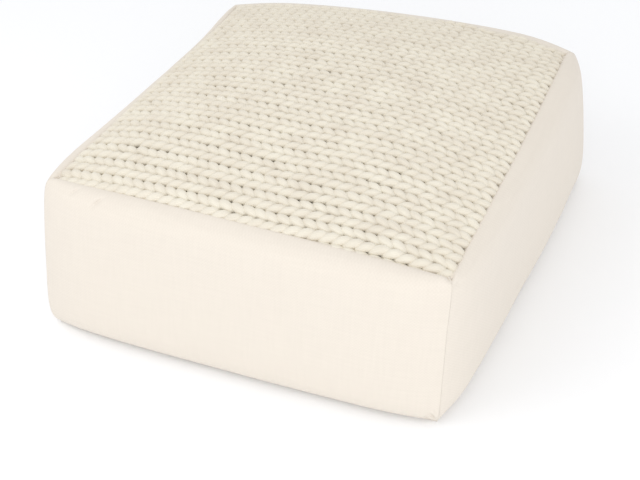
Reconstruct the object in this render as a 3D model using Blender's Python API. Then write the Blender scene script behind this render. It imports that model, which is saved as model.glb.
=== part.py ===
"""A square floor pouf: a knitted top sewn into a boxed canvas cover that is filled firm.

Metres, +Z up. The pouf stands on z = 0 with its middle over the origin. The wales of the
knitted top run along X. The front panel faces -Y and the right panel faces +X.
"""
from collections import namedtuple

import bmesh
import bpy
import numpy as np
from mathutils import Vector

# Seam between the knitted top and the side panels
SEAM_HALF = 0.2579        # half the side of the square between the seam's corners
SEAM_HEIGHT = 0.2141      # of the corners above the floor
SEAM_RISE = 0.0104        # how far the middle of a side lies above its corners

# Seam between the side panels and the base
BASE_HALF = 0.2709
BASE_THICKNESS = 0.0025

# Swell of a side panel between its two seams
CORNER_SWELL = 0.0096     # along the upright corner seams
PANEL_SWELL = 0.0181      # more of it past the drawn-in corners
SHOULDER_POWER = 10.3     # a high power turns the swell quickly under the seam
FOOT_POWER = 6.0
SWELL_POWER = 0.6
CORNER_POWER = 8          # keeps the draw of the corner seams near them

# Knitted top
CROWN = 0.0197            # height of the middle above the seam
CROWN_POWER = 2.4
WALES = 21                # rows of stitches side by side, from the front seam to the back one
KNIT_RIM = 0.0030         # thickness where the knit meets its seam
KNIT_UNDER = 0.0070       # how far the knit reaches below its stitch grooves
KNIT_TAPER_POWER = 12
LEG_CREST = 0.0020        # the plump legs of the stitches
WALE_VALLEY = -0.0008     # between two wales
STITCH_GROOVE = -0.0022   # down the middle of a wale, where the holes lie
RIB_AT_RIM = 0.4          # share of the rib that is left at the seam

GAP = 0.0003              # between sewn pieces

# Grid steps
ALONG_STEPS = 16
UP_STEPS = 14
INWARD_STEPS = 6
CROWDING = 0.45           # draws the grid lines together near the seams
INWARD_POWER = 1.8
CORNER_BLEND = 4          # keeps the bulge of a corner seam near that seam
WELD = 0.00001

# The filled corners lie a little unevenly: each one's seam and base are shifted from the square
Corner = namedtuple("Corner", "side_x side_y seam_x seam_y seam_z base_x base_y")
CORNERS = {
    "left": Corner(-1, -1, seam_x=0.0008, seam_y=0.0048, seam_z=0.0067, base_x=-0.0072, base_y=-0.0094),
    "front": Corner(1, -1, seam_x=0.0066, seam_y=0.0020, seam_z=-0.0023, base_x=-0.0173, base_y=-0.0049),
    "right": Corner(1, 1, seam_x=-0.0081, seam_y=-0.0024, seam_z=0.0038, base_x=-0.0046, base_y=0.0009),
    "back": Corner(-1, 1, seam_x=-0.0035, seam_y=-0.0040, seam_z=-0.0082, base_x=-0.0028, base_y=-0.0015),
}

# Bows are how far the middle of a seam lies outside its corners; swell is added at mid-panel
Panel = namedtuple("Panel", "start end out_x out_y seam_bow base_bow swell")
PANELS = {
    "front_panel": Panel("left", "front", out_x=0, out_y=-1, seam_bow=0.0085, base_bow=0.0042, swell=0.0002),
    "right_panel": Panel("front", "right", out_x=1, out_y=0, seam_bow=0.0076, base_bow=-0.0006, swell=0.0002),
    "back_panel": Panel("right", "back", out_x=0, out_y=1, seam_bow=0.0143, base_bow=0.0039, swell=0.0054),
    "left_panel": Panel("back", "left", out_x=-1, out_y=0, seam_bow=-0.0105, base_bow=-0.0032, swell=-0.0104),
}

Finish = namedtuple("Finish", "colour roughness sheen")
YARN = Finish(colour=(0.80, 0.74, 0.61, 1.0), roughness=0.95, sheen=0.35)
CANVAS = Finish(colour=(0.84, 0.77, 0.67, 1.0), roughness=0.90, sheen=0.15)


def crowded(steps):
    """Values from -1 to 1 that lie closer together towards both ends."""
    even = np.linspace(-1.0, 1.0, steps + 1)
    return even * (1.0 + CROWDING - CROWDING * even ** 2)


def inward_shares():
    """Shares from 0 at the middle of the pouf to 1 at its seam, closer together at the seam."""
    even = np.linspace(0.0, 1.0, INWARD_STEPS + 1)
    return 1.0 - (1.0 - even) ** INWARD_POWER


def seam_corner(name):
    corner = CORNERS[name]
    return np.array([
        corner.side_x * SEAM_HALF + corner.seam_x,
        corner.side_y * SEAM_HALF + corner.seam_y,
        SEAM_HEIGHT + corner.seam_z,
    ])


def base_corner(name):
    corner = CORNERS[name]
    return np.array([
        corner.side_x * BASE_HALF + corner.base_x,
        corner.side_y * BASE_HALF + corner.base_y,
        BASE_THICKNESS + GAP,
    ])


def panel_directions(panel):
    """Unit vectors out of the panel and along it, from its start corner to its end corner."""
    out = np.array([panel.out_x, panel.out_y, 0.0])
    along = np.array([-panel.out_y, panel.out_x, 0.0])
    return out, along


def seam_point(panel, u):
    """On the seam under the knit; u runs from -1 to 1 along the panel."""
    out, _ = panel_directions(panel)
    share = (u + 1) / 2
    bow = 1 - u ** 2
    point = seam_corner(panel.start) * (1 - share) + seam_corner(panel.end) * share
    return point + (panel.seam_bow * out + np.array([0, 0, SEAM_RISE])) * bow


def base_point(panel, u):
    """On the seam around the base."""
    out, _ = panel_directions(panel)
    share = (u + 1) / 2
    point = base_corner(panel.start) * (1 - share) + base_corner(panel.end) * share
    return point + panel.base_bow * out * (1 - u ** 2)


def wall_point(panel, u, v):
    """On the outside of a side panel; v runs from -1 at the base seam to 1 at the top seam."""
    out, along = panel_directions(panel)
    share = (v + 1) / 2
    power = SHOULDER_POWER if v > 0 else FOOT_POWER
    swell = max(0.0, 1 - abs(v) ** power) ** SWELL_POWER
    outward = CORNER_SWELL + PANEL_SWELL * (1 - abs(u) ** CORNER_POWER) + panel.swell * (1 - u ** 2)
    point = base_point(panel, u) * (1 - share) + seam_point(panel, u) * share
    return point + swell * (outward * out + CORNER_SWELL * u * along)


def crown_point(p, q):
    """On the crowned surface that fills the four seams; p runs along X and q along Y."""
    front, right, back, left = PANELS.values()
    share_p = (p + 1) / 2
    share_q = (q + 1) / 2
    point = seam_point(front, p) * (1 - share_q) + seam_point(back, -p) * share_q
    point += seam_point(left, -q) * (1 - share_p) + seam_point(right, q) * share_p
    point -= seam_corner("left") * (1 - share_p) * (1 - share_q)
    point -= seam_corner("front") * share_p * (1 - share_q)
    point -= seam_corner("right") * share_p * share_q
    point -= seam_corner("back") * (1 - share_p) * share_q
    point[2] += CROWN * (1 - abs(p) ** CROWN_POWER) * (1 - abs(q) ** CROWN_POWER)
    return point


def knit_fullness(p, q):
    """From 0 at the seam to 1 over the rest of the top."""
    return (1 - abs(p) ** KNIT_TAPER_POWER) * (1 - abs(q) ** KNIT_TAPER_POWER)


def under_knit_point(p, q):
    """On top of the filling, just under the knit."""
    point = crown_point(p, q)
    point[2] -= KNIT_UNDER * knit_fullness(p, q)
    return point


def sector_place(panel, u, inward):
    """The p and q of a point that lies a share of the way out from the middle of the pouf."""
    out, along = panel_directions(panel)
    p, q, _ = inward * (out + u * along)
    return p, q


def floor_point(panel, u, inward):
    """On the flat underside of the filling."""
    middle = np.mean([base_corner(name) for name in CORNERS], axis=0)
    return middle + inward * (base_point(panel, u) - middle)


def cut_point(panel, u, inward, v):
    """On the upright face that runs in from a corner seam; u is -1 or 1."""
    share = (v + 1) / 2
    low = floor_point(panel, u, inward)
    high = under_knit_point(*sector_place(panel, u, inward))
    bulge = wall_point(panel, u, v) - (
        base_point(panel, u) * (1 - share) + seam_point(panel, u) * share
    )
    return low * (1 - share) + high * share + bulge * inward ** CORNER_BLEND


def add_patch(mesh, first_values, second_values, place):
    """A grid whose points are placed by a function of two values."""
    columns = len(first_values) - 1
    rows = len(second_values) - 1
    grid = bmesh.ops.create_grid(mesh, x_segments=columns, y_segments=rows, size=1.0)
    for vertex in grid["verts"]:
        column = round((vertex.co.x + 1) / 2 * columns)
        row = round((vertex.co.y + 1) / 2 * rows)
        vertex.co = Vector(place(first_values[column], second_values[row]))
    return grid["verts"]


def close_and_name(mesh, name, collection, finish):
    """Welds the patches of a sub-part into one closed body and adds it as an object."""
    bmesh.ops.remove_doubles(mesh, verts=mesh.verts, dist=WELD)
    bmesh.ops.recalc_face_normals(mesh, faces=mesh.faces)
    data = bpy.data.meshes.new(name)
    mesh.to_mesh(data)
    mesh.free()
    data.shade_smooth()
    thing = bpy.data.objects.new(name, data)
    collection.objects.link(thing)
    thing.data.materials.append(make_material(f"{name} cloth", finish))
    return thing


def make_material(name, finish):
    material = bpy.data.materials.new(name)
    material.use_nodes = True
    shader = material.node_tree.nodes["Principled BSDF"]
    shader.inputs["Base Color"].default_value = finish.colour
    shader.inputs["Roughness"].default_value = finish.roughness
    shader.inputs["Sheen Weight"].default_value = finish.sheen
    return material


def make_side_panel(name, collection):
    """A canvas panel with the filling behind it, as far in as the middle of the pouf."""
    panel = PANELS[name]
    along_values = crowded(ALONG_STEPS)
    up_values = crowded(UP_STEPS)
    inward_values = inward_shares()
    mesh = bmesh.new()
    add_patch(mesh, along_values, up_values, lambda u, v: wall_point(panel, u, v))
    add_patch(
        mesh, along_values, inward_values,
        lambda u, inward: under_knit_point(*sector_place(panel, u, inward)),
    )
    add_patch(mesh, along_values, inward_values, lambda u, inward: floor_point(panel, u, inward))
    for end in (-1.0, 1.0):
        add_patch(
            mesh, inward_values, up_values,
            lambda inward, v, end=end: cut_point(panel, end, inward, v),
        )
    thing = close_and_name(mesh, name, collection, CANVAS)
    out, _ = panel_directions(panel)
    thing.location = Vector(out * GAP / np.sqrt(2))
    return thing


def rib_height(column):
    """Height of the ribbed knit at one grid line across the wales."""
    heights = (STITCH_GROOVE, LEG_CREST, WALE_VALLEY, LEG_CREST)
    return heights[column % len(heights)]


def across_lines():
    """Places of the grid lines across the wales: groove, crest, valley, crest, and so on."""
    return np.linspace(-1.0, 1.0, WALES * 4 + 1)


def knit_face_point(p, q, column):
    """On the outside of the knitted top."""
    point = crown_point(p, q)
    share = RIB_AT_RIM + (1 - RIB_AT_RIM) * knit_fullness(p, q)
    point[2] += KNIT_RIM + rib_height(column) * share
    return point


def boundary_along(vertices, key, fixed_key, fixed_value):
    """The vertices of one edge of a unit grid, in order, with their places along it."""
    edge = [pair for pair in vertices if abs(pair[fixed_key] - fixed_value) < WELD]
    edge.sort(key=lambda pair: pair[key])
    return [(pair[key], pair["vertex"]) for pair in edge]


def zip_edges(mesh, lower, upper):
    """A strip of triangles between two edges that have different numbers of points."""
    i = 0
    j = 0
    while i < len(lower) - 1 or j < len(upper) - 1:
        step_lower = j == len(upper) - 1
        if i < len(lower) - 1 and j < len(upper) - 1:
            step_lower = lower[i + 1][0] < upper[j + 1][0]
        if step_lower:
            mesh.faces.new((lower[i][1], lower[i + 1][1], upper[j][1]))
            i += 1
        else:
            mesh.faces.new((lower[i][1], upper[j + 1][1], upper[j][1]))
            j += 1


def make_knit_top(collection):
    """The knitted panel: ribbed by its wales, thick in the middle and thin at its seam."""
    along_values = crowded(ALONG_STEPS)
    inward_values = inward_shares()
    across_values = across_lines()
    columns = np.arange(len(across_values))
    mesh = bmesh.new()

    face = add_patch(
        mesh, along_values, columns,
        lambda p, column: knit_face_point(p, across_values[column], column),
    )
    upper = []
    for index, vertex in enumerate(face):
        row, place = divmod(index, len(along_values))
        upper.append({"p": along_values[place], "q": across_values[row], "vertex": vertex})

    lift = Vector((0.0, 0.0, GAP))
    lower = []
    for panel in PANELS.values():
        sector = add_patch(
            mesh, along_values, inward_values,
            lambda u, inward, panel=panel: under_knit_point(*sector_place(panel, u, inward)),
        )
        for index, vertex in enumerate(sector):
            row, place = divmod(index, len(along_values))
            vertex.co += lift
            p, q = sector_place(panel, along_values[place], inward_values[row])
            lower.append({"p": p, "q": q, "vertex": vertex})

    for key, fixed_key in (("p", "q"), ("q", "p")):
        for fixed_value in (-1.0, 1.0):
            zip_edges(
                mesh,
                boundary_along(unique_places(lower), key, fixed_key, fixed_value),
                boundary_along(upper, key, fixed_key, fixed_value),
            )
    return close_and_name(mesh, "knit_top", collection, YARN)


def unique_places(vertices):
    """One vertex for each place, where the corners of two patches meet."""
    found = {}
    for pair in vertices:
        found.setdefault((round(pair["p"], 5), round(pair["q"], 5)), pair)
    return list(found.values())


def make_base_panel(collection):
    """The flat canvas square that the pouf stands on."""
    mesh = bmesh.new()
    outline = []
    for panel in PANELS.values():
        for u in crowded(ALONG_STEPS)[:-1]:
            point = base_point(panel, u)
            outline.append(mesh.verts.new((point[0], point[1], 0.0)))
    bottom = mesh.faces.new(outline)
    raised = bmesh.ops.extrude_face_region(mesh, geom=[bottom])
    top = [item for item in raised["geom"] if isinstance(item, bmesh.types.BMVert)]
    bmesh.ops.translate(mesh, verts=top, vec=(0.0, 0.0, BASE_THICKNESS))
    return close_and_name(mesh, "base_panel", collection, CANVAS)


def main():
    for thing in list(bpy.data.objects):
        bpy.data.objects.remove(thing, do_unlink=True)
    collection = bpy.data.collections.new("pouf")
    bpy.context.scene.collection.children.link(collection)
    make_base_panel(collection)
    for name in PANELS:
        make_side_panel(name, collection)
    make_knit_top(collection)


if __name__ == "__main__":
    main()
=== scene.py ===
"""Looks of the square floor pouf: a top knitted from real yarn loops on a filled canvas cover."""
from __future__ import annotations

import logging
import math
from dataclasses import dataclass, field
from enum import Enum

import bmesh
import bpy
import numpy as np
from mathutils import Matrix, Vector


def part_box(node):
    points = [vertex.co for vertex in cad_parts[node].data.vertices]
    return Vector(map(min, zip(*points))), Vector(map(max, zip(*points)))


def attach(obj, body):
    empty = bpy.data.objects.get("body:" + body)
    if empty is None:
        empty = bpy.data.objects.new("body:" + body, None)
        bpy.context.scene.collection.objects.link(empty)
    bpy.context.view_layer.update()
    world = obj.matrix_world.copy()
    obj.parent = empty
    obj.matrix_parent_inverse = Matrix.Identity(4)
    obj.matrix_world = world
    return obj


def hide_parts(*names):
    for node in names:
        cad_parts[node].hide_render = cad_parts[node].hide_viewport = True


LOG = logging.getLogger("pouf")
BODY = "root"
SHEEN_ROUGHNESS = 0.5
UP = np.array([0.0, 0.0, 1.0])

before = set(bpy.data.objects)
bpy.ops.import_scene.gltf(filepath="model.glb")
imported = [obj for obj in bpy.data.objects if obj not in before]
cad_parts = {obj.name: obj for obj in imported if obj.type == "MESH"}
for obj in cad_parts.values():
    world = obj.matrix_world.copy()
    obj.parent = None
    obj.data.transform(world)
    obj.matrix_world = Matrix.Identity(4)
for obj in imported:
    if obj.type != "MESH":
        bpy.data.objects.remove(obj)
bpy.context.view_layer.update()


class Corner(Enum):
    """A corner of the pouf, with the signs of its X and Y."""

    LEFT = (-1, -1)
    FRONT = (1, -1)
    RIGHT = (1, 1)
    BACK = (-1, 1)


class Side(Enum):
    """A side of the pouf: its CAD node, its start and end corners and the way that it faces."""

    FRONT = ("front_panel", Corner.LEFT, Corner.FRONT, (0, -1))
    RIGHT = ("right_panel", Corner.FRONT, Corner.RIGHT, (1, 0))
    BACK = ("back_panel", Corner.RIGHT, Corner.BACK, (0, 1))
    LEFT = ("left_panel", Corner.BACK, Corner.LEFT, (-1, 0))

    @property
    def node(self) -> str:
        """The CAD node that holds this side's place."""
        return self.value[0]

    @property
    def start(self) -> Corner:
        """The corner at the left end of the side, seen from outside."""
        return self.value[1]

    @property
    def end(self) -> Corner:
        """The corner at the right end of the side, seen from outside."""
        return self.value[2]

    @property
    def out(self) -> np.ndarray:
        """The level unit vector out of the side."""
        return np.array([*self.value[3], 0.0])

    @property
    def along(self) -> np.ndarray:
        """The level unit vector from the start corner to the end corner."""
        return np.array([-self.value[3][1], self.value[3][0], 0.0])


@dataclass(frozen=True)
class CornerLie:
    """How a filled corner differs from the even square's, in metres.

    The seam and the base are shifted, the swell bulges the upright seam out past both,
    the pinch is where the four layers sewn together draw the knit's corner in, the puff is
    how far the canvas stands up beside it, and the nip is how deep the very corner is drawn.
    """

    seam: tuple[float, float, float]
    base: tuple[float, float]
    swell: tuple[float, float]
    pinch: tuple[float, float, float]
    puff: float
    nip: float


@dataclass(frozen=True)
class SideLie:
    """How far the middle of a side's seams bows out, and how much more the side swells."""

    seam_bow: float
    base_bow: float
    swell: float


@dataclass(frozen=True)
class PoufForm:
    """The filled form that the cover and the knit lie on, in metres.

    A power says how flat the middle of a swell is: the higher, the more sudden its edge.
    """

    seam_half: float = 0.2579
    seam_height: float = 0.2141
    seam_rise: float = 0.0104
    base_half: float = 0.2709
    base_top: float = 0.0028
    panel_swell: float = 0.0181
    shoulder_power: float = 10.3
    foot_power: float = 6.0
    swell_power: float = 0.6
    corner_power: float = 8.0
    puff_power: int = 6
    pinch_reach: float = 0.05
    nip_reach: float = 0.006
    nip_inward: float = 0.2
    crown: float = 0.0197
    crown_power: float = 2.4
    corners: dict[Corner, CornerLie] = field(default_factory=lambda: {
        Corner.LEFT: CornerLie(
            seam=(0.0008, 0.0048, 0.0067), base=(-0.0072, -0.0094),
            swell=(-0.0120, -0.0096), pinch=(0.0025, 0.0, 0.0), puff=0.0125, nip=0.0015,
        ),
        Corner.FRONT: CornerLie(
            seam=(0.0066, 0.0020, -0.0023), base=(-0.0161, -0.0030),
            swell=(0.0052, -0.0096), pinch=(0.0020, 0.0, -0.0012), puff=0.0085, nip=0.0045,
        ),
        Corner.RIGHT: CornerLie(
            seam=(-0.0081, -0.0024, 0.0038), base=(-0.0046, 0.0009),
            swell=(0.0135, 0.0125), pinch=(-0.0010, -0.0025, -0.0045), puff=0.0120, nip=0.0010,
        ),
        Corner.BACK: CornerLie(
            seam=(-0.0035, -0.0040, -0.0082), base=(-0.0028, -0.0015),
            swell=(-0.0085, 0.0115), pinch=(-0.0030, -0.0055, 0.0), puff=0.0110, nip=0.0,
        ),
    })
    sides: dict[Side, SideLie] = field(default_factory=lambda: {
        Side.FRONT: SideLie(seam_bow=0.0085, base_bow=0.0042, swell=0.0002),
        Side.RIGHT: SideLie(seam_bow=0.0076, base_bow=-0.0006, swell=0.0002),
        Side.BACK: SideLie(seam_bow=0.0143, base_bow=0.0039, swell=0.0054),
        Side.LEFT: SideLie(seam_bow=-0.0105, base_bow=-0.0032, swell=-0.0104),
    })

    def seam_corner(self, corner: Corner) -> np.ndarray:
        """The point where two side panels and the knit meet."""
        flat = np.array(corner.value) * self.seam_half
        return np.array([*flat, self.seam_height]) + np.array(self.corners[corner].seam)

    def base_corner(self, corner: Corner) -> np.ndarray:
        """The point where two side panels and the base meet."""
        flat = np.array(corner.value) * self.base_half + np.array(self.corners[corner].base)
        return np.array([*flat, self.base_top])

    def seam(self, side: Side, u: np.ndarray) -> np.ndarray:
        """Points on the seam around the knit.

        Args:
            side: The side of the pouf.
            u: Places along the side, from -1 to 1.

        Returns:
            The points, with one more axis than u.
        """
        share = ((u + 1) / 2)[..., None]
        bow = (1 - u ** 2)[..., None]
        point = self.seam_corner(side.start) * (1 - share) + self.seam_corner(side.end) * share
        return point + (self.sides[side].seam_bow * side.out + self.seam_rise * UP) * bow

    def base(self, side: Side, u: np.ndarray) -> np.ndarray:
        """Points on the seam around the base.

        Args:
            side: The side of the pouf.
            u: Places along the side, from -1 to 1.

        Returns:
            The points, with one more axis than u.
        """
        share = ((u + 1) / 2)[..., None]
        bow = (1 - u ** 2)[..., None]
        point = self.base_corner(side.start) * (1 - share) + self.base_corner(side.end) * share
        return point + self.sides[side].base_bow * side.out * bow

    def wall(self, side: Side, u: np.ndarray, v: np.ndarray) -> np.ndarray:
        """Points on the outside of a side panel.

        Args:
            side: The side of the pouf.
            u: Places along the side, from -1 to 1.
            v: Places up the side, from -1 at the base to 1 at the knit.

        Returns:
            The points, with one more axis than u and v.
        """
        share = ((v + 1) / 2)[..., None]
        power = np.where(v > 0, self.shoulder_power, self.foot_power)
        swell = np.clip(1 - np.abs(v) ** power, 0, 1)[..., None] ** self.swell_power
        start = np.array([*self.corners[side.start].swell, 0.0])
        end = np.array([*self.corners[side.end].swell, 0.0])
        along = ((u + 1) / 2)[..., None]
        middle = self.panel_swell * (1 - np.abs(u) ** self.corner_power)
        middle = middle + self.sides[side].swell * (1 - u ** 2)
        high = np.clip(v, 0, 1)
        start_puff, end_puff = self.corners[side.start].puff, self.corners[side.end].puff
        puff = start_puff * (1 - u) / 2 + end_puff * (1 + u) / 2
        puff = puff * u ** 2 * high ** self.puff_power * np.sqrt(1 - high ** (2 * self.puff_power))
        point = self.base(side, u) * (1 - share) + self.seam(side, u) * share
        point = point + swell * (start * (1 - along) + end * along + middle[..., None] * side.out)
        point = point + puff[..., None] * UP
        down = (1 - v) / 2 * self.seam_height
        point = point + self.pinched(side.start, (1 + u) * self.seam_half, down)
        return point + self.pinched(side.end, (1 - u) * self.seam_half, down)

    def pinched(self, corner: Corner, away: np.ndarray, aside: np.ndarray) -> np.ndarray:
        """How far a corner's pinch and nip shift the cloth near it.

        Args:
            corner: The corner of the knit.
            away: Distances from the corner one way, in metres.
            aside: Distances from it square to that, in metres.

        Returns:
            The shifts, with one more axis than the distances.
        """
        far = away ** 2 + aside ** 2
        share = np.exp(-far / self.pinch_reach ** 2)[..., None]
        nip = np.exp(-far / self.nip_reach ** 2)[..., None]
        lie = self.corners[corner]
        x, y = corner.value
        inward = np.array([-self.nip_inward * x, -self.nip_inward * y, -1.0])
        return share * np.array(lie.pinch) + nip * lie.nip * inward

    def drawn(self, p: np.ndarray, q: np.ndarray, reach: float) -> np.ndarray:
        """How deep the knit is drawn down around the nipped corners.

        Args:
            p: Places along X, from -1 to 1.
            q: Places along Y, from -1 to 1.
            reach: How far from a corner the draw fades, in metres.

        Returns:
            The depth at each place, in metres.
        """
        depth = np.zeros_like(p)
        for corner, lie in self.corners.items():
            x, y = corner.value
            away = np.hypot(1 - x * p, 1 - y * q) * self.seam_half
            depth = depth + lie.nip * np.exp(-(away / reach) ** 2)
        return depth

    def top(self, p: np.ndarray, q: np.ndarray) -> np.ndarray:
        """Points on the crowned surface between the four seams.

        Args:
            p: Places along X, from -1 to 1.
            q: Places along Y, from -1 to 1.

        Returns:
            The points, with one more axis than p and q.
        """
        right_share = ((p + 1) / 2)[..., None]
        back_share = ((q + 1) / 2)[..., None]
        point = self.seam(Side.FRONT, p) * (1 - back_share) + self.seam(Side.BACK, -p) * back_share
        point = point + self.seam(Side.LEFT, -q) * (1 - right_share)
        point = point + self.seam(Side.RIGHT, q) * right_share
        point = point - self.seam_corner(Corner.LEFT) * (1 - right_share) * (1 - back_share)
        point = point - self.seam_corner(Corner.FRONT) * right_share * (1 - back_share)
        point = point - self.seam_corner(Corner.RIGHT) * right_share * back_share
        point = point - self.seam_corner(Corner.BACK) * (1 - right_share) * back_share
        crown = (1 - np.abs(p) ** self.crown_power) * (1 - np.abs(q) ** self.crown_power)
        point = point + self.crown * crown[..., None] * UP
        for corner in Corner:
            x, y = corner.value
            away, aside = (1 - x * p) * self.seam_half, (1 - y * q) * self.seam_half
            point = point + self.pinched(corner, away, aside)
        return point

    def top_normal(self, p: np.ndarray, q: np.ndarray) -> np.ndarray:
        """Unit normals of the crowned surface.

        Args:
            p: Places along X, from -1 to 1.
            q: Places along Y, from -1 to 1.

        Returns:
            The normals, with one more axis than p and q.
        """
        step = 0.01
        along = self.top(np.clip(p + step, -1, 1), q) - self.top(np.clip(p - step, -1, 1), q)
        across = self.top(p, np.clip(q + step, -1, 1)) - self.top(p, np.clip(q - step, -1, 1))
        return unit(np.cross(along, across))


@dataclass(frozen=True)
class Crease:
    """A crease, hollow or swelling in a side panel, where its seams draw it in.

    Its two ends are places along and up the panel, from -1 to 1. Its sizes are in metres. A
    depth under zero stands out.
    """

    side: Side
    start: tuple[float, float]
    end: tuple[float, float]
    width: float
    depth: float
    end_share: float = 0.15

    def dent(self, across: np.ndarray, up: np.ndarray, half: float, tall: float) -> np.ndarray:
        """How far the crease dents the panel.

        Args:
            across: Places along the panel, in metres from its middle.
            up: Places up the panel, in metres from its middle.
            half: Half the panel's length.
            tall: The panel's height.

        Returns:
            The depth at each place, in metres.
        """
        start = np.array(self.start) * (half, tall / 2)
        run = np.array(self.end) * (half, tall / 2) - start
        place = np.stack([across, up], axis=-1) - start
        share = np.clip(place @ run / (run @ run), 0, 1)
        away = np.linalg.norm(place - share[..., None] * run, axis=-1)
        faded = np.sqrt(self.end_share + (1 - self.end_share) * np.sin(math.pi * share) ** 2)
        return self.depth * np.exp(-(away / self.width) ** 2) * faded


# The panels pucker near the knit's corners. At the foot of the front corner the front panel is
# pleated and the right one swells a little. The last two draw in the right panel's foot and the
# left panel's shoulder towards the back.
CREASES = (
    Crease(Side.FRONT, start=(-0.800, 0.985), end=(-0.835, 0.92), width=0.0020, depth=0.0040),
    Crease(Side.FRONT, start=(-0.652, 0.975), end=(-0.695, 0.87), width=0.0020, depth=0.0042),
    Crease(Side.FRONT, start=(0.985, 0.93), end=(0.93, 0.88), width=0.0035, depth=0.0018),
    Crease(Side.FRONT, start=(0.995, 0.90), end=(0.97, 0.80), width=0.0030, depth=0.0016),
    Crease(Side.RIGHT, start=(-0.985, 0.92), end=(-0.94, 0.87), width=0.0035, depth=0.0018),
    Crease(Side.RIGHT, start=(-0.995, 0.87), end=(-0.975, 0.80), width=0.0030, depth=0.0016),
    Crease(Side.FRONT, start=(0.990, -0.985), end=(0.962, -0.84), width=0.0019, depth=0.0066),
    Crease(Side.FRONT, start=(0.962, -0.99), end=(0.945, -0.91), width=0.0018, depth=0.0058),
    Crease(Side.FRONT, start=(0.990, -0.86), end=(0.975, -0.76), width=0.0020, depth=0.0022),
    Crease(Side.RIGHT, start=(-0.97, -0.80), end=(-0.72, -0.70), width=0.030, depth=-0.0020),
    Crease(Side.RIGHT, start=(0.50, -0.78), end=(0.96, -0.72), width=0.035, depth=0.0050),
    Crease(Side.LEFT, start=(-0.80, 0.86), end=(-0.15, 0.86), width=0.035, depth=0.0050),
)


def unit(vectors: np.ndarray) -> np.ndarray:
    """The vectors, each made one long."""
    return vectors / np.linalg.norm(vectors, axis=-1, keepdims=True)


def ease(value: np.ndarray) -> np.ndarray:
    """A smooth step from 0 to 1, for values that run past both."""
    value = np.clip(value, 0, 1)
    return value * value * (3 - 2 * value)


def linear(hex_colour: str) -> tuple[float, float, float, float]:
    """Turns a colour from sRGB to linear.

    Args:
        hex_colour: The sRGB colour, as #RRGGBB.

    Returns:
        The linear colour as RGBA, fully opaque.
    """
    parts = [int(hex_colour[i:i + 2], 16) / 255 for i in (1, 3, 5)]
    flat = [c / 12.92 if c <= 0.04045 else ((c + 0.055) / 1.055) ** 2.4 for c in parts]
    return (*flat, 1.0)


def smooth_noise(shape: tuple[int, int], cells: tuple[int, int], seed: int) -> np.ndarray:
    """Soft random values on a grid.

    Args:
        shape: Rows and columns of the grid.
        cells: How many random values lie down and across it.
        seed: Which values are drawn.

    Returns:
        Values of about -1 to 1, eased between the random ones.
    """
    values = np.random.default_rng(seed).uniform(-1, 1, (cells[0] + 1, cells[1] + 1))
    rows = np.linspace(0, cells[0] - 1e-6, shape[0])
    columns = np.linspace(0, cells[1] - 1e-6, shape[1])
    row, column = rows.astype(int)[:, None], columns.astype(int)[None, :]
    down, across = ease(rows[:, None] - row), ease(columns[None, :] - column)
    upper = values[row, column] * (1 - across) + values[row, column + 1] * across
    lower = values[row + 1, column] * (1 - across) + values[row + 1, column + 1] * across
    return upper * (1 - down) + lower * down


def add_node(
    tree: bpy.types.NodeTree,
    kind: str,
    inputs: dict[str | int, object] | None = None,
    **settings: object,
) -> bpy.types.Node:
    """Adds a node with its settings and links.

    Args:
        tree: The node tree of a material or world.
        kind: The node's type name.
        inputs: A value, or an output socket to link, for each input's name or number.
        **settings: Properties of the node.

    Returns:
        The new node.
    """
    node = tree.nodes.new(kind)
    for name, value in settings.items():
        setattr(node, name, value)
    for name, value in (inputs or {}).items():
        if isinstance(value, bpy.types.NodeSocket):
            tree.links.new(value, node.inputs[name])
        else:
            node.inputs[name].default_value = value
    return node


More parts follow.
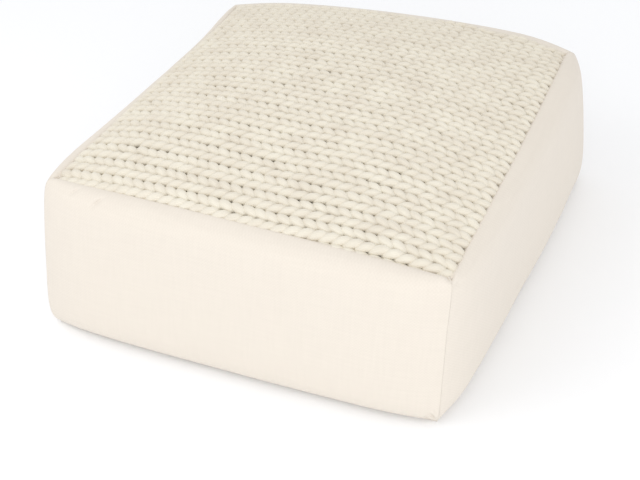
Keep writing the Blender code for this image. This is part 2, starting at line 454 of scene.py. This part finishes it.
@dataclass(frozen=True)
class CottonYarn:
    """Thick roving of combed cotton: matt, with loose fibres that catch a soft rim of light.

    Single fibres are too fine to show here, so they are drawn as locks of them.
    """

    name: str = "combed_cotton_yarn"
    light: str = "#EAE5D7"
    dark: str = "#D7CEBF"
    # Painted shade: the colour that the backs of the loops, seen through the holes, are darkened
    # towards
    painted_shade: str = "#6A604D"
    roughness: float = 0.92
    sheen: float = 0.25
    specular: float = 0.2
    fibre_mm: float = 0.9
    twist_mm: float = 14.0
    twist_degrees: float = 16.0
    fibre_depth_mm: float = 0.35
    fibre_relief: float = 0.6
    patch_scale: float = 34.0

    def material(self) -> bpy.types.Material:
        """Makes the material, which reads places along and round the yarn from its UV map.

        Returns:
            The material. Its UV map is in metres.
        """
        material = bpy.data.materials.new(self.name)
        material.use_nodes = True
        tree = material.node_tree
        shader = tree.nodes["Principled BSDF"]
        shader.inputs["Roughness"].default_value = self.roughness
        shader.inputs["Sheen Weight"].default_value = self.sheen
        shader.inputs["Sheen Roughness"].default_value = SHEEN_ROUGHNESS
        shader.inputs["Specular IOR Level"].default_value = self.specular

        place = add_node(tree, "ShaderNodeTexCoord")
        # Fibres lie along the yarn and turn slowly round it
        turned = add_node(tree, "ShaderNodeMapping", {
            "Vector": place.outputs["UV"],
            "Rotation": (0.0, 0.0, math.radians(self.twist_degrees)),
            "Scale": (1000 / self.twist_mm, 1000 / self.fibre_mm, 1.0),
        })
        fibres = add_node(tree, "ShaderNodeTexNoise", {
            "Vector": turned.outputs["Vector"], "Scale": 1.0, "Detail": 3.0, "Roughness": 0.6,
        })
        # Uneven dyeing, a few stitches across
        patches = add_node(tree, "ShaderNodeTexNoise", {
            "Vector": place.outputs["Object"], "Scale": self.patch_scale,
            "Detail": 2.0, "Roughness": 0.5,
        })
        tone = add_node(tree, "ShaderNodeMath", {
            0: fibres.outputs["Fac"], 1: patches.outputs["Fac"],
        }, operation="ADD")
        ramp = add_node(tree, "ShaderNodeMapRange", {
            "Value": tone.outputs[0], "From Min": 0.5, "From Max": 1.5,
        })
        colour = add_node(tree, "ShaderNodeMix", {
            "Factor": ramp.outputs["Result"], "A": linear(self.dark), "B": linear(self.light),
        }, data_type="RGBA")
        # Painted shade: the backs of the loops, seen only through the holes, are mixed towards a
        # dark brown in place of the shade deep among the loops
        depth = add_node(tree, "ShaderNodeAttribute", attribute_name="painted_shade")
        with_painted_shade = add_node(tree, "ShaderNodeMix", {
            "Factor": depth.outputs["Fac"], "A": colour.outputs["Result"], "B": linear(self.painted_shade),
        }, data_type="RGBA")
        bump = add_node(tree, "ShaderNodeBump", {
            "Height": fibres.outputs["Fac"], "Strength": self.fibre_relief,
            "Distance": self.fibre_depth_mm / 1000,
        })
        tree.links.new(with_painted_shade.outputs["Result"], shader.inputs["Base Color"])
        tree.links.new(bump.outputs["Normal"], shader.inputs["Normal"])
        return material


@dataclass(frozen=True)
class CottonCanvas:
    """Plain-woven cotton canvas: matt and dense, with a faint grid of threads and slubs.

    Its threads are 0.6 mm apart, which is too fine to show here, so they are drawn 2 mm apart.
    """

    name: str = "plain_woven_cotton_canvas"
    light: str = "#E3DBD0"
    dark: str = "#DED6CB"
    roughness: float = 0.9
    sheen: float = 0.12
    specular: float = 0.25
    thread_mm: float = 2.0
    thread_depth_mm: float = 0.12
    thread_relief: float = 0.09
    weave_share: float = 0.35
    slub_length: float = 14.0
    slub_scale: float = 0.6

    def material(self) -> bpy.types.Material:
        """Makes the material, which reads places on the cloth from its UV map.

        Returns:
            The material. Its UV map is in metres.
        """
        material = bpy.data.materials.new(self.name)
        material.use_nodes = True
        tree = material.node_tree
        shader = tree.nodes["Principled BSDF"]
        shader.inputs["Roughness"].default_value = self.roughness
        shader.inputs["Sheen Weight"].default_value = self.sheen
        shader.inputs["Sheen Roughness"].default_value = SHEEN_ROUGHNESS
        shader.inputs["Specular IOR Level"].default_value = self.specular

        place = add_node(tree, "ShaderNodeTexCoord")
        grid = add_node(tree, "ShaderNodeSeparateXYZ", {"Vector": place.outputs["UV"]})
        waves = []
        for axis in ("X", "Y"):
            turns = add_node(tree, "ShaderNodeMath", {
                0: grid.outputs[axis], 1: 1000 * math.pi / self.thread_mm,
            }, operation="MULTIPLY")
            waves.append(add_node(tree, "ShaderNodeMath", {0: turns.outputs[0]}, operation="SINE"))
        weave = add_node(tree, "ShaderNodeMath", {
            0: waves[0].outputs[0], 1: waves[1].outputs[0],
        }, operation="MULTIPLY")
        # Slubs are thicker stretches of thread, many times as long as wide
        fine, coarse = 1000 / self.thread_mm, 1000 / self.thread_mm / self.slub_length
        slubs = []
        for scale in ((fine, coarse, 1.0), (coarse, fine, 1.0)):
            stretched = add_node(tree, "ShaderNodeMapping", {
                "Vector": place.outputs["UV"], "Scale": scale,
            })
            slubs.append(add_node(tree, "ShaderNodeTexNoise", {
                "Vector": stretched.outputs["Vector"], "Scale": self.slub_scale, "Detail": 2.0,
            }))
        slub = add_node(tree, "ShaderNodeMath", {
            0: slubs[0].outputs["Fac"], 1: slubs[1].outputs["Fac"],
        }, operation="ADD")
        height = add_node(tree, "ShaderNodeMath", {
            0: weave.outputs[0], 1: self.weave_share, 2: slub.outputs[0],
        }, operation="MULTIPLY_ADD")
        ramp = add_node(tree, "ShaderNodeMapRange", {
            "Value": height.outputs[0], "From Min": 0.5, "From Max": 1.5,
        })
        colour = add_node(tree, "ShaderNodeMix", {
            "Factor": ramp.outputs["Result"], "A": linear(self.dark), "B": linear(self.light),
        }, data_type="RGBA")
        bump = add_node(tree, "ShaderNodeBump", {
            "Height": height.outputs[0], "Strength": self.thread_relief,
            "Distance": self.thread_depth_mm / 1000,
        })
        tree.links.new(colour.outputs["Result"], shader.inputs["Base Color"])
        tree.links.new(bump.outputs["Normal"], shader.inputs["Normal"])
        return material


@dataclass(frozen=True)
class PaintedFloor:
    """Matt white painted board, which keeps only the soft shadows of what stands on it."""

    name: str = "matt_white_paint"
    colour: str = "#FBFCFE"
    roughness: float = 0.95
    specular: float = 0.1

    def material(self) -> bpy.types.Material:
        """Makes the material.

        Returns:
            The material.
        """
        material = bpy.data.materials.new(self.name)
        material.use_nodes = True
        shader = material.node_tree.nodes["Principled BSDF"]
        shader.inputs["Base Color"].default_value = linear(self.colour)
        shader.inputs["Roughness"].default_value = self.roughness
        shader.inputs["Specular IOR Level"].default_value = self.specular
        return material


def new_object(name: str, mesh: bpy.types.Mesh, material: bpy.types.Material) -> bpy.types.Object:
    """Adds a smooth-shaded mesh to the scene with its material.

    Args:
        name: The name of the new object.
        mesh: Its mesh.
        material: Its material.

    Returns:
        The new object.
    """
    mesh.materials.append(material)
    mesh.shade_smooth()
    thing = bpy.data.objects.new(name, mesh)
    bpy.context.scene.collection.objects.link(thing)
    return thing


def report_piece(piece: bpy.types.Object) -> None:
    """Reports a finished piece with the size of its mesh.

    Args:
        piece: The piece.
    """
    mesh = piece.data
    triangles = sum(len(face.vertices) - 2 for face in mesh.polygons)
    LOG.info("%s: %d points, %d triangles", piece.name, len(mesh.vertices), triangles)


@dataclass
class Strand:
    """A run of yarn: its middle line, the cloth's normal, its half sizes and how much painted shade
    darkens it where it dives deep.
    """

    points: np.ndarray
    normals: np.ndarray
    half_width: np.ndarray
    half_height: np.ndarray
    painted_shade: np.ndarray


@dataclass
class MeshParts:
    """Points, faces and face-corner UVs that grow into one mesh."""

    points: list[np.ndarray] = field(default_factory=list)
    faces: list[tuple[int, ...]] = field(default_factory=list)
    uvs: list[np.ndarray] = field(default_factory=list)
    painted_shades: list[np.ndarray] = field(default_factory=list)
    count: int = 0

    def add_strand(self, strand: Strand, sides: int) -> None:
        """Adds a closed tube of oval section around a run of yarn.

        Args:
            strand: The run of yarn.
            sides: Points around the section.
        """
        tangent = unit(np.gradient(strand.points, axis=0))
        across = unit(np.cross(tangent, strand.normals))
        above = np.cross(across, tangent)
        angle = np.linspace(0, 2 * math.pi, sides, endpoint=False)
        ring = (
            np.cos(angle)[None, :, None] * across[:, None] * strand.half_width[:, None, None]
            + np.sin(angle)[None, :, None] * above[:, None] * strand.half_height[:, None, None]
        )
        steps = len(strand.points)
        self.points.append((strand.points[:, None] + ring).reshape(-1, 3))
        self.painted_shades.append(np.repeat(strand.painted_shade, sides))
        length = np.linalg.norm(np.diff(strand.points, axis=0), axis=1)
        length = np.concatenate([[0], np.cumsum(length)])
        turn = 2 * math.pi * float(strand.half_width.mean())

        row, column = np.meshgrid(np.arange(steps - 1), np.arange(sides), indexing="ij")
        row, column = row.ravel(), column.ravel()
        after = (column + 1) % sides
        corners = np.stack([
            row * sides + column,
            (row + 1) * sides + column,
            (row + 1) * sides + after,
            row * sides + after,
        ], axis=1) + self.count
        self.faces.extend(map(tuple, corners.tolist()))
        low, high = column / sides * turn, (column + 1) / sides * turn
        self.uvs.append(np.stack([
            np.stack([length[row], low], axis=1),
            np.stack([length[row + 1], low], axis=1),
            np.stack([length[row + 1], high], axis=1),
            np.stack([length[row], high], axis=1),
        ], axis=1).reshape(-1, 2))
        for first, order in ((0, 1), ((steps - 1) * sides, -1)):
            self.faces.append(tuple((self.count + first + np.arange(sides)[::order]).tolist()))
            self.uvs.append(np.zeros((sides, 2)))
        self.count += steps * sides

    def mesh(self, name: str) -> bpy.types.Mesh:
        """Makes one mesh of the parts, with a UV map in metres.

        Args:
            name: The mesh's name.

        Returns:
            The mesh.
        """
        mesh = bpy.data.meshes.new(name)
        mesh.from_pydata(np.concatenate(self.points).tolist(), [], self.faces)
        layer = mesh.uv_layers.new(name="cloth")
        layer.data.foreach_set("uv", np.concatenate(self.uvs).astype(np.float32).ravel())
        # Painted shade of the loops' backs, one value per point
        depth = mesh.attributes.new("painted_shade", "FLOAT", "POINT")
        depth.data.foreach_set("value", np.concatenate(self.painted_shades).astype(np.float32))
        mesh.update()
        return mesh


@dataclass(frozen=True)
class Pull:
    """A soft pull that shifts the wales: its middle and reach in half sides, its shift in wales."""

    p: float
    q: float
    reach_p: float
    reach_q: float
    shift: float

    def at(self, p: np.ndarray, q: np.ndarray) -> np.ndarray:
        """The shift at places p and q, in wales towards +Y."""
        away = ((p - self.p) / self.reach_p) ** 2 + ((q - self.q) / self.reach_q) ** 2
        return self.shift * np.exp(-away)


# The wales ride towards +Y along the -X seam and sag towards -Y before they reach the +X seam
PULLS = (
    Pull(p=-0.9, q=-1.7, reach_p=0.65, reach_q=2.3, shift=0.67),
    Pull(p=-2.1, q=-1.0, reach_p=1.4, reach_q=0.3, shift=-1.57),
    Pull(p=0.58, q=-0.21, reach_p=0.31, reach_q=1.0, shift=0.62),
    Pull(p=0.67, q=0.54, reach_p=0.37, reach_q=1.03, shift=-1.01),
)


@dataclass
class KnitTop:
    """The knitted panel: courses of looped yarn, each loop drawn through the one before.

    The wales run along X, and the legs of each stitch spread from a point at their -X end. The
    swing and the reach are a loop's half width and half length in stitches, the lag turns its
    crossings aside, the neck is the yarn's share of its size where loops cross, and the
    selvedge is the spare wale beyond each end seam. The yarn is tucked down along the seams.
    """

    form: PoufForm
    finish: CottonYarn
    wales: int = 21
    courses: int = 34
    half_width: float = 0.0051
    half_height: float = 0.0050
    swing: float = 0.225
    reach: float = 1.12
    lag: float = 0.15
    neck: float = 0.45
    selvedge: float = 0.25
    lift: float = 0.0055
    back_lift: float = 0.0045
    middle_depth: float = 0.0054
    shade_from: float = 0.35
    shade_over: float = 0.8
    tuck: float = 0.0035
    tuck_width: float = 0.012
    back_stand: float = 0.0015
    corner_reach: float = 0.018
    front_plump: float = 0.195
    left_plump: float = 0.15
    wander_along: tuple[float, float] = (0.10, 0.08)
    wander_across: tuple[float, float] = (0.07, 0.045)
    uneven: float = 0.10
    steps_per_stitch: int = 24
    sides: int = 12
    bands: int = 3
    seed: int = 4

    def strand(self, course: int, wander: np.ndarray, plump: np.ndarray) -> Strand:
        """One course of loops.

        Args:
            course: The number of the course, from the -X seam.
            wander: Shifts along and across the wales for each step of each course, in stitches.
            plump: The yarn's share of its full size for each step of each course.

        Returns:
            The course's run of yarn.
        """
        spare = 1 + self.selvedge
        place = np.linspace(-spare, self.wales + spare, wander.shape[-1])
        turn = math.pi + 2 * math.pi * place
        place_along = course + 0.5 - self.reach * np.cos(turn) + wander[0, course]
        place_across = place + self.swing * np.sin(2 * turn) + wander[1, course]
        p = -1 + 2 * place_along / self.courses
        q = -1 + 2 * place_across / self.wales
        q = q + 2 / self.wales * sum(pull.at(p, q) for pull in PULLS)
        p_in, q_in = np.clip(p, -1, 1), np.clip(q, -1, 1)
        normal = self.form.top_normal(p_in, q_in)
        leg = -np.cos(2 * turn - self.lag * np.sin(turn))
        height = np.where(leg > 0, leg * self.lift, leg * self.back_lift) - self.middle_depth
        half = self.form.seam_half
        beyond = (np.maximum(np.abs(p) - 1, 0) + np.maximum(np.abs(q) - 1, 0)) * half
        inside = np.minimum(1 - np.abs(p_in), 1 + q_in) * half
        height = height - beyond - self.tuck * (1 - ease(inside / self.tuck_width))
        height = height + self.back_stand * (1 - ease((1 - q_in) * half / self.tuck_width))
        height = height - self.form.drawn(p_in, q_in, self.corner_reach)
        points = self.form.top(p_in, q_in) + height[:, None] * normal
        full = self.front_plump * ((1 - q_in) / 2) ** 2 + self.left_plump * ((1 - p_in) / 2) ** 3
        size = (plump[course] + full) * (self.neck + (1 - self.neck) * np.sin(turn) ** 2)
        # Painted shade: yarn that dives below the crossings is darkened the more, the deeper it
        # lies
        painted_shade = ease((self.shade_from - leg) / self.shade_over)
        # The panel is cut along the seams, wherever its pulled wales lie there
        sewn = np.flatnonzero(np.abs(q) <= 1 + 2 * self.selvedge / self.wales)
        kept = slice(sewn[0], sewn[-1] + 1)
        return Strand(
            points[kept], normal[kept],
            self.half_width * size[kept], self.half_height * size[kept], painted_shade[kept],
        )

    def build(self) -> list[bpy.types.Object]:
        """Builds the top as bands of courses, which keeps each piece light.

        Returns:
            The bands, from the -X seam to the +X seam.
        """
        steps = round((self.wales + 2 + 2 * self.selvedge) * self.steps_per_stitch) + 1
        shape = (self.courses, steps)
        # Each shift has a soft part, many stitches wide, and a part that changes with each leg
        legs = (self.courses, 2 * self.wales)
        wander = np.stack([
            self.wander_along[0] * smooth_noise(shape, (12, 9), self.seed)
            + self.wander_along[1] * smooth_noise(shape, legs, self.seed + 1),
            self.wander_across[0] * smooth_noise(shape, (10, 10), self.seed + 2)
            + self.wander_across[1] * smooth_noise(shape, legs, self.seed + 3),
        ])
        plump = 1 + self.uneven * smooth_noise(shape, legs, self.seed + 4)
        material = self.finish.material()
        pieces = []
        for band in range(self.bands):
            parts = MeshParts()
            first = self.courses * band // self.bands
            after = self.courses * (band + 1) // self.bands
            for course in range(first, after):
                parts.add_strand(self.strand(course, wander, plump), self.sides)
            piece = new_object(f"knit_courses_{band + 1}", parts.mesh("knit_courses"), material)
            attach(piece, BODY)
            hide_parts("knit_top")
            report_piece(piece)
            pieces.append(piece)
        return pieces


@dataclass
class CanvasCover:
    """The boxed canvas cover: four filled side panels and the base.

    The mesh is finer towards the panels' edges: a crowding says how much. The filling lies
    deeper under the knit than the seams do, and the relief fades out at the seams.
    """

    form: PoufForm
    finish: CottonCanvas
    along_steps: int = 240
    along_crowding: float = 0.3
    up_steps: int = 120
    up_crowding: float = 0.45
    inward_steps: int = 18
    inward_crowding: float = 2.2
    base_steps: int = 40
    merge: float = 0.00002
    under_knit: float = 0.0140
    under_power: int = 26
    cut_power: int = 4
    rim_power: int = 40
    gap: float = 0.00012
    ripple: float = 0.0006
    ripple_power: int = 8
    ripple_seed: int = 30
    gather: float = 0.0005
    gather_pitch: float = 0.0152
    gather_reach: float = 0.009
    gather_seed: int = 60
    drift: float = 0.6
    drift_seed: int = 70
    fill: float = 0.9

    def build(self) -> list[bpy.types.Object]:
        """Builds the side panels and the base.

        Returns:
            The pieces, each in the place of its own CAD node.
        """
        material = self.finish.material()
        pieces = [self.panel(side, material) for side in Side]
        pieces.append(self.base(material))
        for piece in pieces:
            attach(piece, BODY)
            report_piece(piece)
        return pieces

    def under(self, side: Side, u: np.ndarray, inward: np.ndarray) -> np.ndarray:
        """Points on top of the filling.

        Args:
            side: The side of the pouf.
            u: Places along the side, from -1 to 1.
            inward: Places from 0 in the middle of the pouf to 1 at the side's seam.

        Returns:
            The points, with one more axis than u and inward.
        """
        flat = inward[..., None] * (side.out + u[..., None] * side.along)
        p, q = flat[..., 0], flat[..., 1]
        full = (1 - np.abs(p) ** self.under_power) * (1 - np.abs(q) ** self.under_power)
        return self.form.top(p, q) - (self.under_knit * full)[..., None] * UP

    def floor(self, side: Side, u: np.ndarray, inward: np.ndarray) -> np.ndarray:
        """Points on the flat underside of the filling."""
        middle = np.mean([self.form.base_corner(corner) for corner in Corner], axis=0)
        return middle + inward[..., None] * (self.form.base(side, u) - middle)

    def cut(self, side: Side, end: float, inward: np.ndarray, v: np.ndarray) -> np.ndarray:
        """Points on the upright face that runs in from a corner seam.

        Args:
            side: The side of the pouf.
            end: The end of the side, -1 or 1.
            inward: Places from 0 in the middle of the pouf to 1 at the corner seam.
            v: Places up the side, from -1 to 1.

        Returns:
            The points, with one more axis than inward and v.
        """
        u = np.full_like(inward, end)
        share = ((v + 1) / 2)[..., None]
        ruled = self.floor(side, u, inward) * (1 - share) + self.under(side, u, inward) * share
        rim = np.ones_like(inward)
        straight = self.floor(side, u, rim) * (1 - share) + self.under(side, u, rim) * share
        bulge = self.form.wall(side, u, v) - straight
        return ruled + bulge * (inward ** self.cut_power)[..., None]

    def gathers(self, side: Side, u: np.ndarray, below: np.ndarray) -> np.ndarray:
        """The small gathers that the stitches along the knit draw in the canvas.

        Args:
            side: The side of the pouf.
            u: Places along the side, from -1 to 1.
            below: Distances under the seam, in metres.

        Returns:
            The share of the full depth at each place, from 0 to about 1.
        """
        strength = 0.55 + 0.45 * smooth_noise(u.shape, (1, 23), self.gather_seed + len(side.node))
        drift = self.drift * smooth_noise(u.shape, (1, 15), self.drift_seed + len(side.node))
        turn = 2 * math.pi * (u * self.form.seam_half / self.gather_pitch + drift)
        return strength * (0.5 + 0.5 * np.cos(turn)) * np.exp(-(below / self.gather_reach) ** 2)

    def relief(self, side: Side, u: np.ndarray, v: np.ndarray) -> np.ndarray:
        """How far a side panel's ripples, gathers and creases stand out.

        Args:
            side: The side of the pouf.
            u: Places along the side, from -1 to 1.
            v: Places up the side, from -1 to 1.

        Returns:
            The distance out at each place, in metres.
        """
        half, tall = self.form.seam_half, self.form.seam_height
        inner = (1 - u ** self.ripple_power) * (1 - v ** self.ripple_power)
        ripple = smooth_noise(u.shape, (5, 11), self.ripple_seed + len(side.node)) * inner
        relief = self.ripple * ripple - self.gather * self.gathers(side, u, (1 - v) / 2 * tall)
        for crease in CREASES:
            if crease.side is side:
                relief = relief - crease.dent(u * half, v * tall / 2, half, tall)
        return relief * (1 - u ** self.rim_power) * (1 - v ** self.rim_power)

    def panel(self, side: Side, material: bpy.types.Material) -> bpy.types.Object:
        """Builds one canvas side panel with the filling behind it.

        Args:
            side: The side of the pouf.
            material: The canvas.

        Returns:
            The closed piece.
        """
        even = np.linspace(-1, 1, self.along_steps + 1)
        u = even * (1 + self.along_crowding - self.along_crowding * even ** 2)
        even = np.linspace(-1, 1, self.up_steps + 1)
        v = even * (1 + self.up_crowding - self.up_crowding * even ** 2)
        inward = 1 - (1 - np.linspace(0, 1, self.inward_steps + 1)) ** self.inward_crowding
        half, tall = self.form.seam_half, self.form.seam_height
        mesh = bmesh.new()
        layer = mesh.loops.layers.uv.new("cloth")
        wall_u, wall_v = np.meshgrid(u, v)
        wall = self.form.wall(side, wall_u, wall_v)
        wall = wall + self.relief(side, wall_u, wall_v)[..., None] * side.out
        add_grid(mesh, layer, wall, wall_u * half, wall_v * tall / 2)
        top_u, top_in = np.meshgrid(u, inward)
        add_grid(mesh, layer, self.under(side, top_u, top_in), top_u * half, top_in * half)
        add_grid(mesh, layer, self.floor(side, top_u, top_in), top_u * half, top_in * half)
        for end in (-1.0, 1.0):
            cut_in, cut_v = np.meshgrid(inward, v)
            cut = self.cut(side, end, cut_in, cut_v)
            add_grid(mesh, layer, cut, cut_in * half, cut_v * tall / 2)
        bmesh.ops.remove_doubles(mesh, verts=mesh.verts, dist=self.merge)
        bmesh.ops.recalc_face_normals(mesh, faces=mesh.faces)
        bmesh.ops.translate(mesh, verts=mesh.verts, vec=Vector(side.out * self.gap / math.sqrt(2)))
        data = bpy.data.meshes.new(side.node)
        mesh.to_mesh(data)
        mesh.free()
        piece = new_object(side.node.replace("panel", "canvas"), data, material)
        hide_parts(side.node)
        return piece

    def base(self, material: bpy.types.Material) -> bpy.types.Object:
        """Builds the flat canvas square that the pouf stands on.

        Args:
            material: The canvas.

        Returns:
            The closed piece.
        """
        u = np.linspace(-1, 1, self.base_steps + 1)[:-1]
        rim = np.concatenate([self.form.base(side, u) for side in Side])
        low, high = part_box("base_panel")
        mesh = bmesh.new()
        layer = mesh.loops.layers.uv.new("cloth")
        bottom = mesh.faces.new([mesh.verts.new((x, y, low.z)) for x, y, _ in rim])
        raised = bmesh.ops.extrude_face_region(mesh, geom=[bottom])
        top = [item for item in raised["geom"] if isinstance(item, bmesh.types.BMVert)]
        bmesh.ops.translate(mesh, verts=top, vec=(0, 0, high.z - low.z))
        bmesh.ops.recalc_face_normals(mesh, faces=mesh.faces)
        for face in mesh.faces:
            for loop in face.loops:
                loop[layer].uv = loop.vert.co.xy
        data = bpy.data.meshes.new("base_canvas")
        mesh.to_mesh(data)
        mesh.free()
        piece = new_object("base_canvas", data, material)
        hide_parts("base_panel")
        return piece


def add_grid(
    mesh: bmesh.types.BMesh,
    layer: bmesh.types.BMLayerItem,
    points: np.ndarray,
    across: np.ndarray,
    up: np.ndarray,
) -> None:
    """Adds a grid of faces.

    Args:
        mesh: The mesh that grows.
        layer: Its UV layer.
        points: The grid's points, in rows.
        across: The cloth's own place across at each point, in metres.
        up: The cloth's own place up at each point, in metres.
    """
    verts = [[mesh.verts.new(point) for point in row] for row in points]
    for i in range(len(verts) - 1):
        for j in range(len(verts[0]) - 1):
            places = ((i, j), (i, j + 1), (i + 1, j + 1), (i + 1, j))
            face = mesh.faces.new([verts[a][b] for a, b in places])
            for loop, (a, b) in zip(face.loops, places):
                loop[layer].uv = (across[a, b], up[a, b])


@dataclass
class Studio:
    """The pale floor, the soft light and the camera at the photo's angle."""

    floor_finish: PaintedFloor
    azimuth: float = 27.29
    elevation: float = 37.51
    roll: float = -4.46
    distance: float = 1.5831
    target: tuple[float, float, float] = (0.0568, -0.1565, 0.1358)
    focal_pixels: float = 1268.5
    picture_width: float = 640.0
    sensor_mm: float = 36.0
    floor_size: float = 14.0
    room_light: float = 0.93

    def build(self) -> None:
        """Builds the floor, lights, world and camera."""
        self.floor()
        self.light("left_softbox", azimuth=-40, elevation=50, distance=1.6, size=1.0, power=3.5)
        self.light("front_softbox", azimuth=35, elevation=20, distance=2.6, size=2.0, power=16)
        self.world()
        self.camera()

    def floor(self) -> None:
        """Adds the floor under the pouf."""
        bpy.ops.mesh.primitive_plane_add(size=self.floor_size, location=(0, 0, 0))
        floor = bpy.context.object
        floor.name = "floor"
        floor.data.materials.append(self.floor_finish.material())

    def direction(self, azimuth: float, elevation: float) -> np.ndarray:
        """The unit vector towards a viewer at an azimuth and elevation in degrees."""
        a, e = math.radians(azimuth), math.radians(elevation)
        return np.array([math.sin(a) * math.cos(e), -math.cos(a) * math.cos(e), math.sin(e)])

    def light(
        self,
        name: str,
        azimuth: float,
        elevation: float,
        distance: float,
        size: float,
        power: float,
    ) -> None:
        """Adds a soft square light that faces the pouf.

        Args:
            name: The light's name.
            azimuth: The way to it, in degrees round from -Y towards +X.
            elevation: The way to it, in degrees above level.
            distance: How far it is, in metres.
            size: How wide it is, in metres.
            power: Its power, in watts.
        """
        data = bpy.data.lights.new(name, "AREA")
        data.size = size
        data.energy = power
        lamp = bpy.data.objects.new(name, data)
        bpy.context.scene.collection.objects.link(lamp)
        away = Vector(self.direction(azimuth, elevation))
        lamp.location = away * distance
        lamp.rotation_euler = away.to_track_quat("Z", "Y").to_euler()

    def world(self) -> None:
        """Adds even white light from all round."""
        world = bpy.data.worlds.new("white_room")
        world.use_nodes = True
        background = world.node_tree.nodes["Background"]
        background.inputs["Color"].default_value = (1.0, 1.0, 1.0, 1.0)
        background.inputs["Strength"].default_value = self.room_light
        bpy.context.scene.world = world

    def camera(self) -> None:
        """Adds the camera, turned and placed as the photo was taken."""
        back = self.direction(self.azimuth, self.elevation)
        a, r = math.radians(self.azimuth), math.radians(self.roll)
        right = np.array([math.cos(a), math.sin(a), 0.0])
        above = np.cross(back, right)
        turned_right = right * math.cos(r) + above * math.sin(r)
        turned_above = above * math.cos(r) - right * math.sin(r)
        place = np.array(self.target) + back * self.distance
        data = bpy.data.cameras.new("camera")
        data.sensor_fit = "HORIZONTAL"
        data.sensor_width = self.sensor_mm
        data.lens = self.focal_pixels * self.sensor_mm / self.picture_width
        camera = bpy.data.objects.new("camera", data)
        bpy.context.scene.collection.objects.link(camera)
        turned = Matrix((turned_right, turned_above, back)).transposed().to_4x4()
        camera.matrix_world = Matrix.Translation(Vector(place)) @ turned
        bpy.context.scene.camera = camera


def main() -> None:
    """Builds the pouf's looks and the studio."""
    logging.basicConfig(level=logging.INFO, format="%(message)s")
    bpy.context.scene.view_settings.view_transform = "Standard"
    form = PoufForm()
    CanvasCover(form, CottonCanvas()).build()
    KnitTop(form, CottonYarn()).build()
    Studio(PaintedFloor()).build()


if __name__ == "__main__":
    main()
